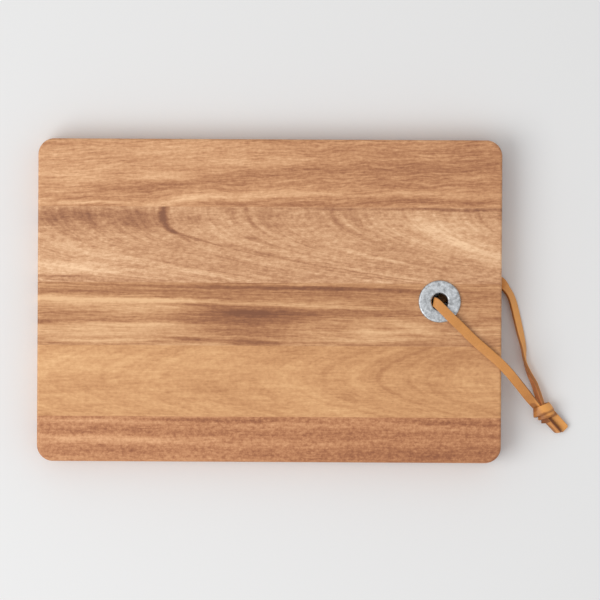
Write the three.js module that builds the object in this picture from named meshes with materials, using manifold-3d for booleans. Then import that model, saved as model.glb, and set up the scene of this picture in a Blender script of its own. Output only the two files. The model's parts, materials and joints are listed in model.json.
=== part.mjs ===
// A small acacia cheese board with a metal eyelet and a knotted leather lace, lying on a table.
// Millimetres, +Z up. The origin is on the table, under the middle of the board. +X points to the end
// with the eyelet, +Y to the far long edge. The lace runs back under the board, so that end lies higher.
import * as THREE from 'three';
import { mergeVertices } from 'three/addons/utils/BufferGeometryUtils.js';
import Module from 'manifold-3d';

// Board
const BOARD_LENGTH = 230;
const BOARD_WIDTH = 160;
const BOARD_THICKNESS = 15;
const CORNER_RADIUS = 8;
const EDGE_EASE = 1.2;
// Widths of the five staves, from the far edge to the near one, as shares of the board's width
const STAVE_WIDTH_SHARES = [0.21, 0.235, 0.195, 0.22, 0.14];
const GLUE_LINE = 0.3;
const STAVE_COLORS = [0xcb996f, 0xd09e78, 0xbf8d68, 0xcd9a6b, 0xbd855e];

// Eyelet: two flanged bushes that meet in the middle of the board's thickness
const EYELET_FROM_END = 30.7;
const HOLE_DIAMETER = 8;
const BARREL_WALL = 0.9;
const FLANGE_DIAMETER = 21;
const FLANGE_THICKNESS = 1;
const RIM_ROUND = 0.5;
const SEAT_GAP = 0.3;
const BARREL_GAP = 0.3;
const REAR_INSET = 0.1;

// Lace
const LACE_WIDTH = 4.6;
const LACE_THICKNESS = 1.5;
const LACE_EDGE_BREAK = 0.35;
const KNOT_GAP = 0.3;

// Knot: a rounded core and two turns of lace that lie round it on the slant. Lengths are shares of the
// lace's width, forward is along the knot's own axis, and slants are in degrees
const KNOT_CORE_SHARES = { along: 2.0, across: 2.4, height: 1.64 };
const KNOT_TURN_SHARES = [
  { forward: -0.22, side: 0.12, lift: 0, width: 1, across: 2.8, height: 1.76, slant: -30 },
  { forward: 0.6, side: -0.2, lift: -0.04, width: 0.82, across: 2.3, height: 1.66, slant: -24 },
];
const KNOT_TURN_ROUND = 0.6;
const KNOT_FROM_EYELET = 53;
const KNOT_SIDEWAYS = -54.5;
const KNOT_HEADING = -47;
const TABLE_GAP = 0.05;

// Facets and tool overruns
const CORNER_SEGMENTS = 6;
const EASE_SEGMENTS = 3;
const ROUND_SEGMENTS = 48;
const RIM_SEGMENTS = 4;
const KNOT_SEGMENTS = 32;
const STEPS_PER_STATION = 2;
const OVERRUN = 1;
const MERGE_DISTANCE = 1e-4;

const EYELET_X = BOARD_LENGTH / 2 - EYELET_FROM_END;
const BARREL_RADIUS = HOLE_DIAMETER / 2 + BARREL_WALL;
const BORE_RADIUS = BARREL_RADIUS + SEAT_GAP;
const RECESS_RADIUS = FLANGE_DIAMETER / 2 + SEAT_GAP;
const RECESS_DEPTH = REAR_INSET + FLANGE_THICKNESS + SEAT_GAP;

// The board stands on the lower corner of its left end and leans on the lace under the eyelet
const FOOT_X = -(BOARD_LENGTH / 2 - EDGE_EASE);
const LEAN = Math.asin((LACE_THICKNESS + SEAT_GAP) / (EYELET_X - FOOT_X));

// Stations of the lace, chosen by hand: x from the eyelet's axis, y, z, then the compass angle of the
// lace's width seen from above and the angle by which that side of it is raised, both in degrees
const FRONT_STRAND = [
  [-1.7, -0.7, 9.6, 103, 0],
  [-2.0, -0.5, 12.4, 95, 0],
  [-2.3, -0.3, 15.2, 86, 0],
  [-2.4, -0.2, 16.9, 80, 0],
  [-2.1, -0.45, 18.2, 76, 0],
  [-1.2, -1.2, 19.0, 68, 0],
  [0.2, -2.6, 19.15, 58, 0],
  [2.6, -5.0, 19.05, 50, 0],
  [5.7, -8.1, 19.15, 46, 0],
  [9.8, -12.0, 18.4, 45, 0],
  [16.6, -18.7, 17.95, 46, 1],
  [24.0, -25.1, 18.05, 48, 2],
  [30.2, -30.6, 18.25, 46, 3],
  [34.4, -34.9, 16.9, 42, 11],
  [38.4, -39.6, 13.3, 41, 18],
  [42.2, -44.2, 9.8, 41, 22],
  [45.2, -47.9, 7.3, 41, 30],
  [48.5, -51.6, 5.6, 43, 42],
];
const REAR_STRAND = [
  [-1.7, -0.7, 9.2, 103, 0],
  [-1.8, -1.0, 6.6, 110, 0],
  [-1.85, -1.2, 4.2, 118, 0],
  [-1.75, -1.15, 2.6, 122, 0],
  [-1.1, -0.7, 1.25, 124, 0],
  [0.2, 0.3, 0.84, 126, 0],
  [4.0, 3.3, 0.8, 127, 0],
  [9.0, 6.9, 0.8, 124, 0],
  [15.0, 10.3, 0.8, 114, 0],
  [21.3, 12.2, 0.8, 98, 0],
  [26.6, 12.2, 0.82, 78, 0],
  [31.0, 9.7, 0.95, 52, -3],
  [32.0, 8.3, 1.27, 47, -14],
  [32.9, 7.0, 1.9, 42, -38],
  [34.7, 4.5, 2.2, 28, -48],
  [36.3, 1.1, 2.2, 15, -48],
  [38.2, -6.0, 2.2, 13, -47],
  [40.3, -15.0, 2.25, 12, -52],
  [42.05, -22.7, 2.45, 10, -66],
  [42.8, -29.3, 2.5, 13, -86],
  [44.9, -35.3, 2.6, 19, -104],
  [47.6, -40.8, 2.75, 21, -117],
  [49.4, -46.0, 3.2, 20, -122],
  [51.1, -51.4, 3.9, 18, -122],
];
const UPPER_TAIL = [
  [55.8, -55.4, 3.5, 43, 4],
  [58.2, -58.0, 2.6, 43, 4],
  [60.7, -60.7, 1.75, 43, 4],
  [63.1, -63.3, 1.15, 43, 4],
];
const LOWER_TAIL = [
  [52.6, -57.0, 3.9, 43, 58],
  [55.0, -59.6, 3.3, 43, 59],
  [57.5, -62.2, 2.8, 43, 60],
  [59.8, -64.7, 2.45, 43, 60],
];

const wasm = await Module();
wasm.setup();

// Triangles that merging has closed up, as round a lathe's pole, are left out
function toSolid(geometry) {
  const bare = geometry.clone();
  bare.deleteAttribute('normal');
  bare.deleteAttribute('uv');
  const merged = mergeVertices(bare, MERGE_DISTANCE);
  const corners = merged.index.array;
  const kept = [];
  for (let i = 0; i < corners.length; i += 3) {
    const [a, b, c] = corners.slice(i, i + 3);
    if (a !== b && b !== c && c !== a) kept.push(a, b, c);
  }
  return new wasm.Manifold(new wasm.Mesh({
    numProp: 3,
    vertProperties: merged.attributes.position.array,
    triVerts: Uint32Array.from(kept),
  }));
}

function toGeometry(solid) {
  const mesh = solid.getMesh();
  const geometry = new THREE.BufferGeometry();
  geometry.setAttribute('position', new THREE.BufferAttribute(mesh.vertProperties, 3));
  geometry.setIndex(new THREE.BufferAttribute(mesh.triVerts, 1));
  geometry.computeVertexNormals();
  return geometry;
}

function namedMesh(name, geometry, material) {
  const mesh = new THREE.Mesh(geometry, material);
  mesh.name = name;
  return mesh;
}

// A cylinder that stands on z = bottom
function standingCylinder(radius, bottom, top) {
  const geometry = new THREE.CylinderGeometry(radius, radius, top - bottom, ROUND_SEGMENTS);
  geometry.rotateX(Math.PI / 2);
  geometry.translate(EYELET_X, 0, (top + bottom) / 2);
  return geometry;
}

// The panel's outline, drawn full size; the bevel takes the edge ease off both faces
function boardOutline() {
  const x = BOARD_LENGTH / 2 - CORNER_RADIUS;
  const y = BOARD_WIDTH / 2 - CORNER_RADIUS;
  const outline = new THREE.Shape();
  outline.absarc(x, y, CORNER_RADIUS, 0, Math.PI / 2);
  outline.absarc(-x, y, CORNER_RADIUS, Math.PI / 2, Math.PI);
  outline.absarc(-x, -y, CORNER_RADIUS, Math.PI, Math.PI * 3 / 2);
  outline.absarc(x, -y, CORNER_RADIUS, Math.PI * 3 / 2, Math.PI * 2);
  return outline;
}

// The whole panel with its eased edges, the eyelet's bore and the recess for the rear flange
function panelSolid() {
  const panel = new THREE.ExtrudeGeometry(boardOutline(), {
    depth: BOARD_THICKNESS - 2 * EDGE_EASE,
    bevelThickness: EDGE_EASE,
    bevelSize: EDGE_EASE,
    bevelOffset: -EDGE_EASE,
    bevelSegments: EASE_SEGMENTS,
    curveSegments: CORNER_SEGMENTS,
  });
  panel.translate(0, 0, EDGE_EASE);
  const bore = standingCylinder(BORE_RADIUS, -OVERRUN, BOARD_THICKNESS + OVERRUN);
  const recess = standingCylinder(RECESS_RADIUS, -OVERRUN, RECESS_DEPTH);
  return toSolid(panel).subtract(toSolid(bore)).subtract(toSolid(recess));
}

function staves() {
  const panel = panelSolid();
  const group = new THREE.Group();
  let farEdge = BOARD_WIDTH / 2;
  STAVE_WIDTH_SHARES.forEach((share, index) => {
    const width = share * BOARD_WIDTH;
    const first = index === 0;
    const last = index === STAVE_WIDTH_SHARES.length - 1;
    const far = first ? farEdge + OVERRUN : farEdge - GLUE_LINE / 2;
    const near = last ? farEdge - width - OVERRUN : farEdge - width + GLUE_LINE / 2;
    const slab = new THREE.BoxGeometry(BOARD_LENGTH + OVERRUN, far - near, BOARD_THICKNESS + OVERRUN);
    slab.translate(0, (far + near) / 2, BOARD_THICKNESS / 2);
    const material = new THREE.MeshStandardMaterial({
      color: STAVE_COLORS[index],
      roughness: 0.55,
      metalness: 0,
    });
    group.add(namedMesh(`stave_${index + 1}`, toGeometry(panel.intersect(toSolid(slab))), material));
    farEdge -= width;
  });
  return group;
}

// One half of the eyelet: the flange lies on z = 0 and the barrel hangs below it
function eyeletGeometry(barrelLength) {
  const hole = HOLE_DIAMETER / 2;
  const rim = FLANGE_DIAMETER / 2;
  const top = FLANGE_THICKNESS;
  const profile = new THREE.Path();
  profile.moveTo(hole, -barrelLength);
  profile.lineTo(BARREL_RADIUS, -barrelLength);
  profile.lineTo(BARREL_RADIUS, 0);
  profile.lineTo(rim, 0);
  profile.lineTo(rim, top - RIM_ROUND);
  profile.absarc(rim - RIM_ROUND, top - RIM_ROUND, RIM_ROUND, 0, Math.PI / 2);
  profile.absarc(hole + RIM_ROUND, top - RIM_ROUND, RIM_ROUND, Math.PI / 2, Math.PI);
  profile.lineTo(hole, -barrelLength);
  const geometry = new THREE.LatheGeometry(profile.getPoints(RIM_SEGMENTS), ROUND_SEGMENTS);
  geometry.rotateX(Math.PI / 2);
  return geometry;
}

function eyelet() {
  const material = new THREE.MeshStandardMaterial({ color: 0xb9bcc0, roughness: 0.42, metalness: 1 });
  const frontBarrel = BOARD_THICKNESS / 2 + SEAT_GAP - BARREL_GAP / 2;
  const rearBarrel = BOARD_THICKNESS / 2 - BARREL_GAP / 2 - REAR_INSET - FLANGE_THICKNESS;
  const front = namedMesh('eyelet_front', eyeletGeometry(frontBarrel), material);
  front.position.set(EYELET_X, 0, BOARD_THICKNESS + SEAT_GAP);
  const rear = namedMesh('eyelet_rear', eyeletGeometry(rearBarrel), material);
  rear.rotation.x = Math.PI;
  rear.position.set(EYELET_X, 0, REAR_INSET + FLANGE_THICKNESS);
  const group = new THREE.Group();
  group.add(front, rear);
  return group;
}

// A flat strip's path: its steps follow the stations, which lie close together where it bends, and its
// width follows the stations' own angles
class StripPath extends THREE.CatmullRomCurve3 {
  constructor(stations) {
    super(stations.map(([x, y, z]) => new THREE.Vector3(EYELET_X + x, y, z)));
    this.angles = new THREE.CatmullRomCurve3(
      stations.map(([, , , turn, raise]) => new THREE.Vector3(turn, raise, 0)),
      false,
      'catmullrom',
    );
  }

  widthAt(t, tangent) {
    const angles = this.angles.getPoint(t).multiplyScalar(THREE.MathUtils.DEG2RAD);
    const level = Math.cos(angles.y);
    const width = new THREE.Vector3(level * Math.cos(angles.x), level * Math.sin(angles.x), Math.sin(angles.y));
    return width.addScaledVector(tangent, -width.dot(tangent)).normalize();
  }

  getSpacedPoints(divisions) {
    return this.getPoints(divisions);
  }

  computeFrenetFrames(segments) {
    const frames = { tangents: [], normals: [], binormals: [] };
    for (let step = 0; step <= segments; step += 1) {
      const tangent = this.getTangent(step / segments);
      const width = this.widthAt(step / segments, tangent);
      frames.tangents.push(tangent);
      frames.normals.push(width);
      frames.binormals.push(new THREE.Vector3().crossVectors(tangent, width));
    }
    return frames;
  }
}

// The lace's cross-section: a flat bar with broken edges
function laceSection() {
  const x = LACE_WIDTH / 2;
  const y = LACE_THICKNESS / 2;
  const cut = LACE_EDGE_BREAK;
  return new THREE.Shape([
    new THREE.Vector2(x, cut - y),
    new THREE.Vector2(x, y - cut),
    new THREE.Vector2(x - cut, y),
    new THREE.Vector2(cut - x, y),
    new THREE.Vector2(-x, y - cut),
    new THREE.Vector2(-x, cut - y),
    new THREE.Vector2(cut - x, -y),
    new THREE.Vector2(x - cut, -y),
  ]);
}

function stripSolid(stations) {
  return toSolid(new THREE.ExtrudeGeometry(laceSection(), {
    extrudePath: new StripPath(stations),
    steps: (stations.length - 1) * STEPS_PER_STATION,
  }));
}

// One turn of the knot: a solid oval disc about as thick as the lace is wide
function knotTurn(share, grow) {
  const radius = share.across * LACE_WIDTH / 2 + grow;
  const height = share.height * LACE_WIDTH / 2 + grow;
  const half = share.width * LACE_WIDTH / 2 + grow;
  const profile = new THREE.Path();
  profile.moveTo(0, -half);
  profile.lineTo(radius - KNOT_TURN_ROUND, -half);
  profile.absarc(radius - KNOT_TURN_ROUND, KNOT_TURN_ROUND - half, KNOT_TURN_ROUND, -Math.PI / 2, 0);
  profile.absarc(radius - KNOT_TURN_ROUND, half - KNOT_TURN_ROUND, KNOT_TURN_ROUND, 0, Math.PI / 2);
  profile.lineTo(0, half);
  const geometry = new THREE.LatheGeometry(profile.getPoints(RIM_SEGMENTS), KNOT_SEGMENTS);
  geometry.rotateZ(-Math.PI / 2);
  geometry.scale(1, 1, height / radius);
  geometry.rotateZ(THREE.MathUtils.degToRad(share.slant));
  geometry.translate(share.forward * LACE_WIDTH, share.side * LACE_WIDTH, share.lift * LACE_WIDTH);
  return toSolid(geometry);
}

// The knot, enlarged all round by grow for the room that it takes from the ends that run into it
function knotSolid(grow) {
  const { along, across, height } = KNOT_CORE_SHARES;
  const [halfLong, halfWide, halfHigh] = [along, across, height].map((share) => share * LACE_WIDTH / 2);
  const core = new THREE.SphereGeometry(1, KNOT_SEGMENTS, KNOT_SEGMENTS / 2);
  core.scale(halfLong + grow, halfWide + grow, halfHigh + grow);
  const turns = KNOT_TURN_SHARES.map((share) => knotTurn(share, grow));
  const geometry = toGeometry(turns.reduce((whole, turn) => whole.add(turn), toSolid(core)));
  const tallest = Math.max(...KNOT_TURN_SHARES.map((share) => share.height));
  geometry.rotateZ(THREE.MathUtils.degToRad(KNOT_HEADING));
  geometry.translate(EYELET_X + KNOT_FROM_EYELET, KNOT_SIDEWAYS, tallest * LACE_WIDTH / 2 + TABLE_GAP);
  return toSolid(geometry);
}

function lace() {
  const material = new THREE.MeshStandardMaterial({ color: 0xc9894c, roughness: 0.6, metalness: 0 });
  const room = knotSolid(KNOT_GAP);
  const ends = {
    lace_front_strand: FRONT_STRAND,
    lace_rear_strand: REAR_STRAND,
    lace_tail_upper: UPPER_TAIL,
    lace_tail_lower: LOWER_TAIL,
  };
  const group = new THREE.Group();
  group.add(namedMesh('lace_knot', toGeometry(knotSolid(0)), material));
  Object.entries(ends).forEach(([name, stations]) => {
    group.add(namedMesh(name, toGeometry(stripSolid(stations).subtract(room)), material));
  });
  return group;
}

const board = new THREE.Group();
board.add(staves(), eyelet());
board.rotation.y = -LEAN;
board.position.set(BOARD_THICKNESS / 2 * Math.sin(LEAN), 0, -FOOT_X * Math.sin(LEAN));

const cheeseBoard = new THREE.Group();
cheeseBoard.add(board, lace());

export default cheeseBoard;
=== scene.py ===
import json
import math
from collections import namedtuple

import bmesh
import bpy
from bpy.props import FloatProperty, FloatVectorProperty, PointerProperty
from mathutils import Matrix, Vector, noise


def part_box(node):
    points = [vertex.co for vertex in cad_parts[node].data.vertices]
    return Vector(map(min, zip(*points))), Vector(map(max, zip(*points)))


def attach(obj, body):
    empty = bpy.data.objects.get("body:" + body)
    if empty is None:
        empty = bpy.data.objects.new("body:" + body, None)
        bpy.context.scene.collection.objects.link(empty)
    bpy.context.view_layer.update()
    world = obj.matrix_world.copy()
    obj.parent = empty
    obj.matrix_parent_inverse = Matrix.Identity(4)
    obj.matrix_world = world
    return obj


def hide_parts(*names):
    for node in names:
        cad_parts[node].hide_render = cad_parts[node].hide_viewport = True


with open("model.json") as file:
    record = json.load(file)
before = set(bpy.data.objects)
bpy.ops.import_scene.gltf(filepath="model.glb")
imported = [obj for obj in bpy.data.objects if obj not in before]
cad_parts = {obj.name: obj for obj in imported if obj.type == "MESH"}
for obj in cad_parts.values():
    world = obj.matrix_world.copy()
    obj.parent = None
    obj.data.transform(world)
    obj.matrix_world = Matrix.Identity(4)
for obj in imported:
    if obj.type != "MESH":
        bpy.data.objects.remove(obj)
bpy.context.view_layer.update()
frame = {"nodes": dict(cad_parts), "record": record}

bl_info = {
    "name": "Acacia Cheese Board",
    "version": (1, 0, 0),
    "blender": (4, 5, 0),
    "location": "View3D > Sidebar > Cheese Board",
    "description": "Builds an acacia cheese board with a steel eyelet and a knotted leather lace",
    "category": "Add Mesh",
}

BODY = "root"
MM = 0.001

# The board leans on its lace, so its own axes are tilted in the frame. The underside's mount says how
UNDERSIDE = next(mount for mount in frame["record"]["mounts"] if mount["name"] == "underside")
LEAN = math.asin(UNDERSIDE["axis"][0])
BOARD_FOOT = Vector((UNDERSIDE["pos_m"][0], 0, UNDERSIDE["pos_m"][2]))
BOARD_PLACE = Matrix.Translation(BOARD_FOOT) @ Matrix.Rotation(-LEAN, 4, "Y")

STAVE_COUNT = 5
# Where the camera looks straight down, how far it is turned about that point, and its sensor in millimetres
VIEW_MIDDLE = (0.01503, 0.0004)
VIEW_TURN = math.radians(0.3)
SENSOR_WIDTH = 36
# The square lamp hangs to the left of the board and a little on the near side, over a round floor
LAMP_PLACE = (-0.95, -0.42, 1.25)
LAMP_SIDE = 1.2
FLOOR_RADIUS = 4
# Clearance with which cutters pass through what they cut, and the distance at which vertices are merged
OVERRUN = 1 * MM
MERGE = 1e-6
# Facets round the eyelet and its bore, round a corner of the board and across a small rounded edge
ROUND_FACETS = 96
CORNER_FACETS = 24
EDGE_FACETS = 6
# Bends sharper than these, in degrees, show as an edge on the hard pieces and on the lace
HARD_EDGE = 35
LACE_EDGE = 40
# Steps of the lace to each stretch between stations, and facets round each corner of its section and across
# its domed side
LACE_STEPS = 8
CORNER_STEPS = 3
DOME_STEPS = 6
# How far each strand runs on inside the eyelet to meet the other, and strands and tails into the knot
MEETING_RUN = 0.2 * MM
KNOT_RUN = 3 * MM
# How far the cut edges of the lace wander to each side, and over what length
EDGE_WANDER = 0.06 * MM
WANDER_LENGTH = 2.5 * MM
# Over how much of its end a strip leans into a skew cut, and how far the corners there are worn back
CUT_REACH = 4 * MM
END_WEAR = 0.4 * MM


def board_box(node):
    """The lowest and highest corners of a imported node, in the board's own axes."""
    back = BOARD_PLACE.inverted()
    points = [back @ vertex.co for vertex in frame["nodes"][node].data.vertices]
    low = Vector(min(point[axis] for point in points) for axis in range(3))
    high = Vector(max(point[axis] for point in points) for axis in range(3))
    return low, high


STAVE_BOXES = [board_box(f"stave_{number + 1}") for number in range(STAVE_COUNT)]
BOARD_LOW = Vector(map(min, *(low for low, high in STAVE_BOXES)))
BOARD_HIGH = Vector(map(max, *(high for low, high in STAVE_BOXES)))
EYELET_FRONT = board_box("eyelet_front")
EYELET_REAR = board_box("eyelet_rear")
EYELET_X = (EYELET_FRONT[0].x + EYELET_FRONT[1].x) / 2
FLANGE_RADIUS = (EYELET_FRONT[1].x - EYELET_FRONT[0].x) / 2
BARREL_JOINT = (EYELET_FRONT[0].z + EYELET_REAR[1].z) / 2
# The eyelet's hole, its barrel, on which the bore closes, and where the rear flange sits in its recess
HOLE_RADIUS = 4 * MM
BARREL_RADIUS = 5.1 * MM
REAR_SEAT = EYELET_REAR[0].z + 1 * MM
RECESS_RADIUS = FLANGE_RADIUS + 0.15 * MM

# Stations of the lace in millimetres: x from the eyelet's axis, y, z, then the compass angle of the lace's
# width seen from above and the angle by which that side of it is raised, both in degrees
FRONT_STRAND = [
    (-1.7, -0.7, 9.6, 103, 0),
    (-2.0, -0.5, 12.4, 95, 0),
    (-2.3, -0.3, 15.2, 86, 0),
    (-2.4, -0.2, 16.9, 80, 0),
    (-2.1, -0.45, 18.2, 76, 0),
    (-1.2, -1.2, 19.0, 68, 0),
    (0.2, -2.6, 19.15, 58, 0),
    (2.6, -5.0, 19.05, 50, 0),
    (5.7, -8.1, 19.15, 46, 0),
    (9.8, -12.0, 18.4, 45, 0),
    (16.6, -18.7, 17.95, 46, 1),
    (24.0, -25.1, 18.05, 48, 2),
    (30.2, -30.6, 18.25, 46, 3),
    (34.4, -34.9, 16.9, 42, 11),
    (38.4, -39.6, 13.3, 41, 18),
    (42.2, -44.2, 9.8, 41, 22),
    (45.2, -47.9, 7.3, 41, 30),
    (48.5, -51.6, 5.6, 43, 42),
]
REAR_STRAND = [
    (-1.7, -0.7, 9.2, 103, 0),
    (-1.8, -1.0, 6.6, 110, 0),
    (-1.85, -1.2, 4.2, 118, 0),
    (-1.75, -1.15, 2.6, 122, 0),
    (-1.1, -0.7, 1.25, 124, 0),
    (0.2, 0.3, 0.84, 126, 0),
    (4.0, 3.3, 0.8, 127, 0),
    (9.0, 6.9, 0.8, 124, 0),
    (15.0, 10.3, 0.8, 114, 0),
    (21.3, 12.2, 0.8, 98, 0),
    (26.6, 12.2, 0.82, 78, 0),
    (31.0, 9.7, 0.95, 52, -3),
    (32.0, 8.3, 1.27, 47, -14),
    (32.9, 7.0, 1.9, 42, -38),
    (34.7, 4.5, 2.2, 28, -48),
    (36.3, 1.1, 2.2, 15, -48),
    (38.2, -6.0, 2.2, 13, -47),
    (40.3, -15.0, 2.25, 12, -52),
    (42.05, -22.7, 2.45, 10, -66),
    (42.8, -29.3, 2.5, 13, -86),
    (44.9, -35.3, 2.6, 19, -104),
    (47.6, -40.8, 2.75, 21, -117),
    (49.4, -46.0, 3.2, 20, -122),
    (51.1, -51.4, 3.9, 18, -122),
]
UPPER_TAIL = [
    (55.8, -55.4, 3.5, 43, 4),
    (58.2, -58.0, 2.6, 43, 4),
    (60.7, -60.7, 1.75, 43, 4),
    (63.1, -63.3, 1.15, 43, 4),
]
LOWER_TAIL = [
    (52.6, -57.0, 3.9, 43, 58),
    (55.0, -59.6, 3.3, 43, 59),
    (57.5, -62.2, 2.8, 43, 60),
    (59.8, -64.7, 2.45, 43, 60),
]
# How far off square the tails are cut, in degrees
END_SKEWS = {"tail_upper": -5, "tail_lower": 15}

# The knot's turns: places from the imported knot's middle, along and across its heading, and above the table,
# an oval's width and height, its slant and how far that swings to each side, how far it creeps along, where
# it starts and how far it goes round, in millimetres and degrees, and whether the rough side is out
Turn = namedtuple("Turn", "forward side lift across height slant swing creep start sweep rough")
KNOT_HEADING = -47
KNOT_TURNS = (
    Turn(-1.7, 0.1, 4.1, 9.9, 7.9, -24, 17, 1.4, -100, 440, False),
    Turn(0.8, 0.0, 3.7, 8.2, 6.5, -29, 14, 1.0, -90, 415, False),
    Turn(2.5, -1.3, 3.1, 5.0, 5.4, -34, 10, 0.8, -100, 420, True),
)
TURN_STEPS = 72
# The folds inside the knot, as one rounded core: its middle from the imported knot's middle and its half sizes,
# along, across and above the knot's heading, and its facets round
CORE_SHIFT = Vector((0.2, -1.0, -0.4)) * MM
CORE_SIZE = Vector((3.6, 3.0, 2.7)) * MM
CORE_FACETS = 48

# How a stave's growth rings open away from their axis: the arcs' tips lie on the line y = axis, and an arc
# runs back along the board by opening * distance ** power. Millimetres, from the middle of the board
Rings = namedtuple("Rings", "axis opening power")
# Lumps of tone: their length along the grain and width and depth across it in millimetres, their strength and
# how rough they are
Layer = namedtuple("Layer", "length width depth strength rough", defaults=(0.62,))
# A soft mark in the wood or the leather from one point to another, in millimetres, the tone that it adds in
# its middle, below 0 where it is dark, and how deep every mark reaches
Mark = namedtuple("Mark", "x1 y1 x2 y2 width tone")
MARK_DEPTH = 60
# A stave's wood: its pattern's seed, the slants in degrees of its rings through its depth and of its grain
# along the board, how far the grain wanders, its lumps of tone and the marks that follow the grain, and the
# rings with the lumps and marks that follow them
Wood = namedtuple("Wood", "seed tilt slope wander layers marks rings ring_layers ring_marks",
                  defaults=(None, (), ()))

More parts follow.
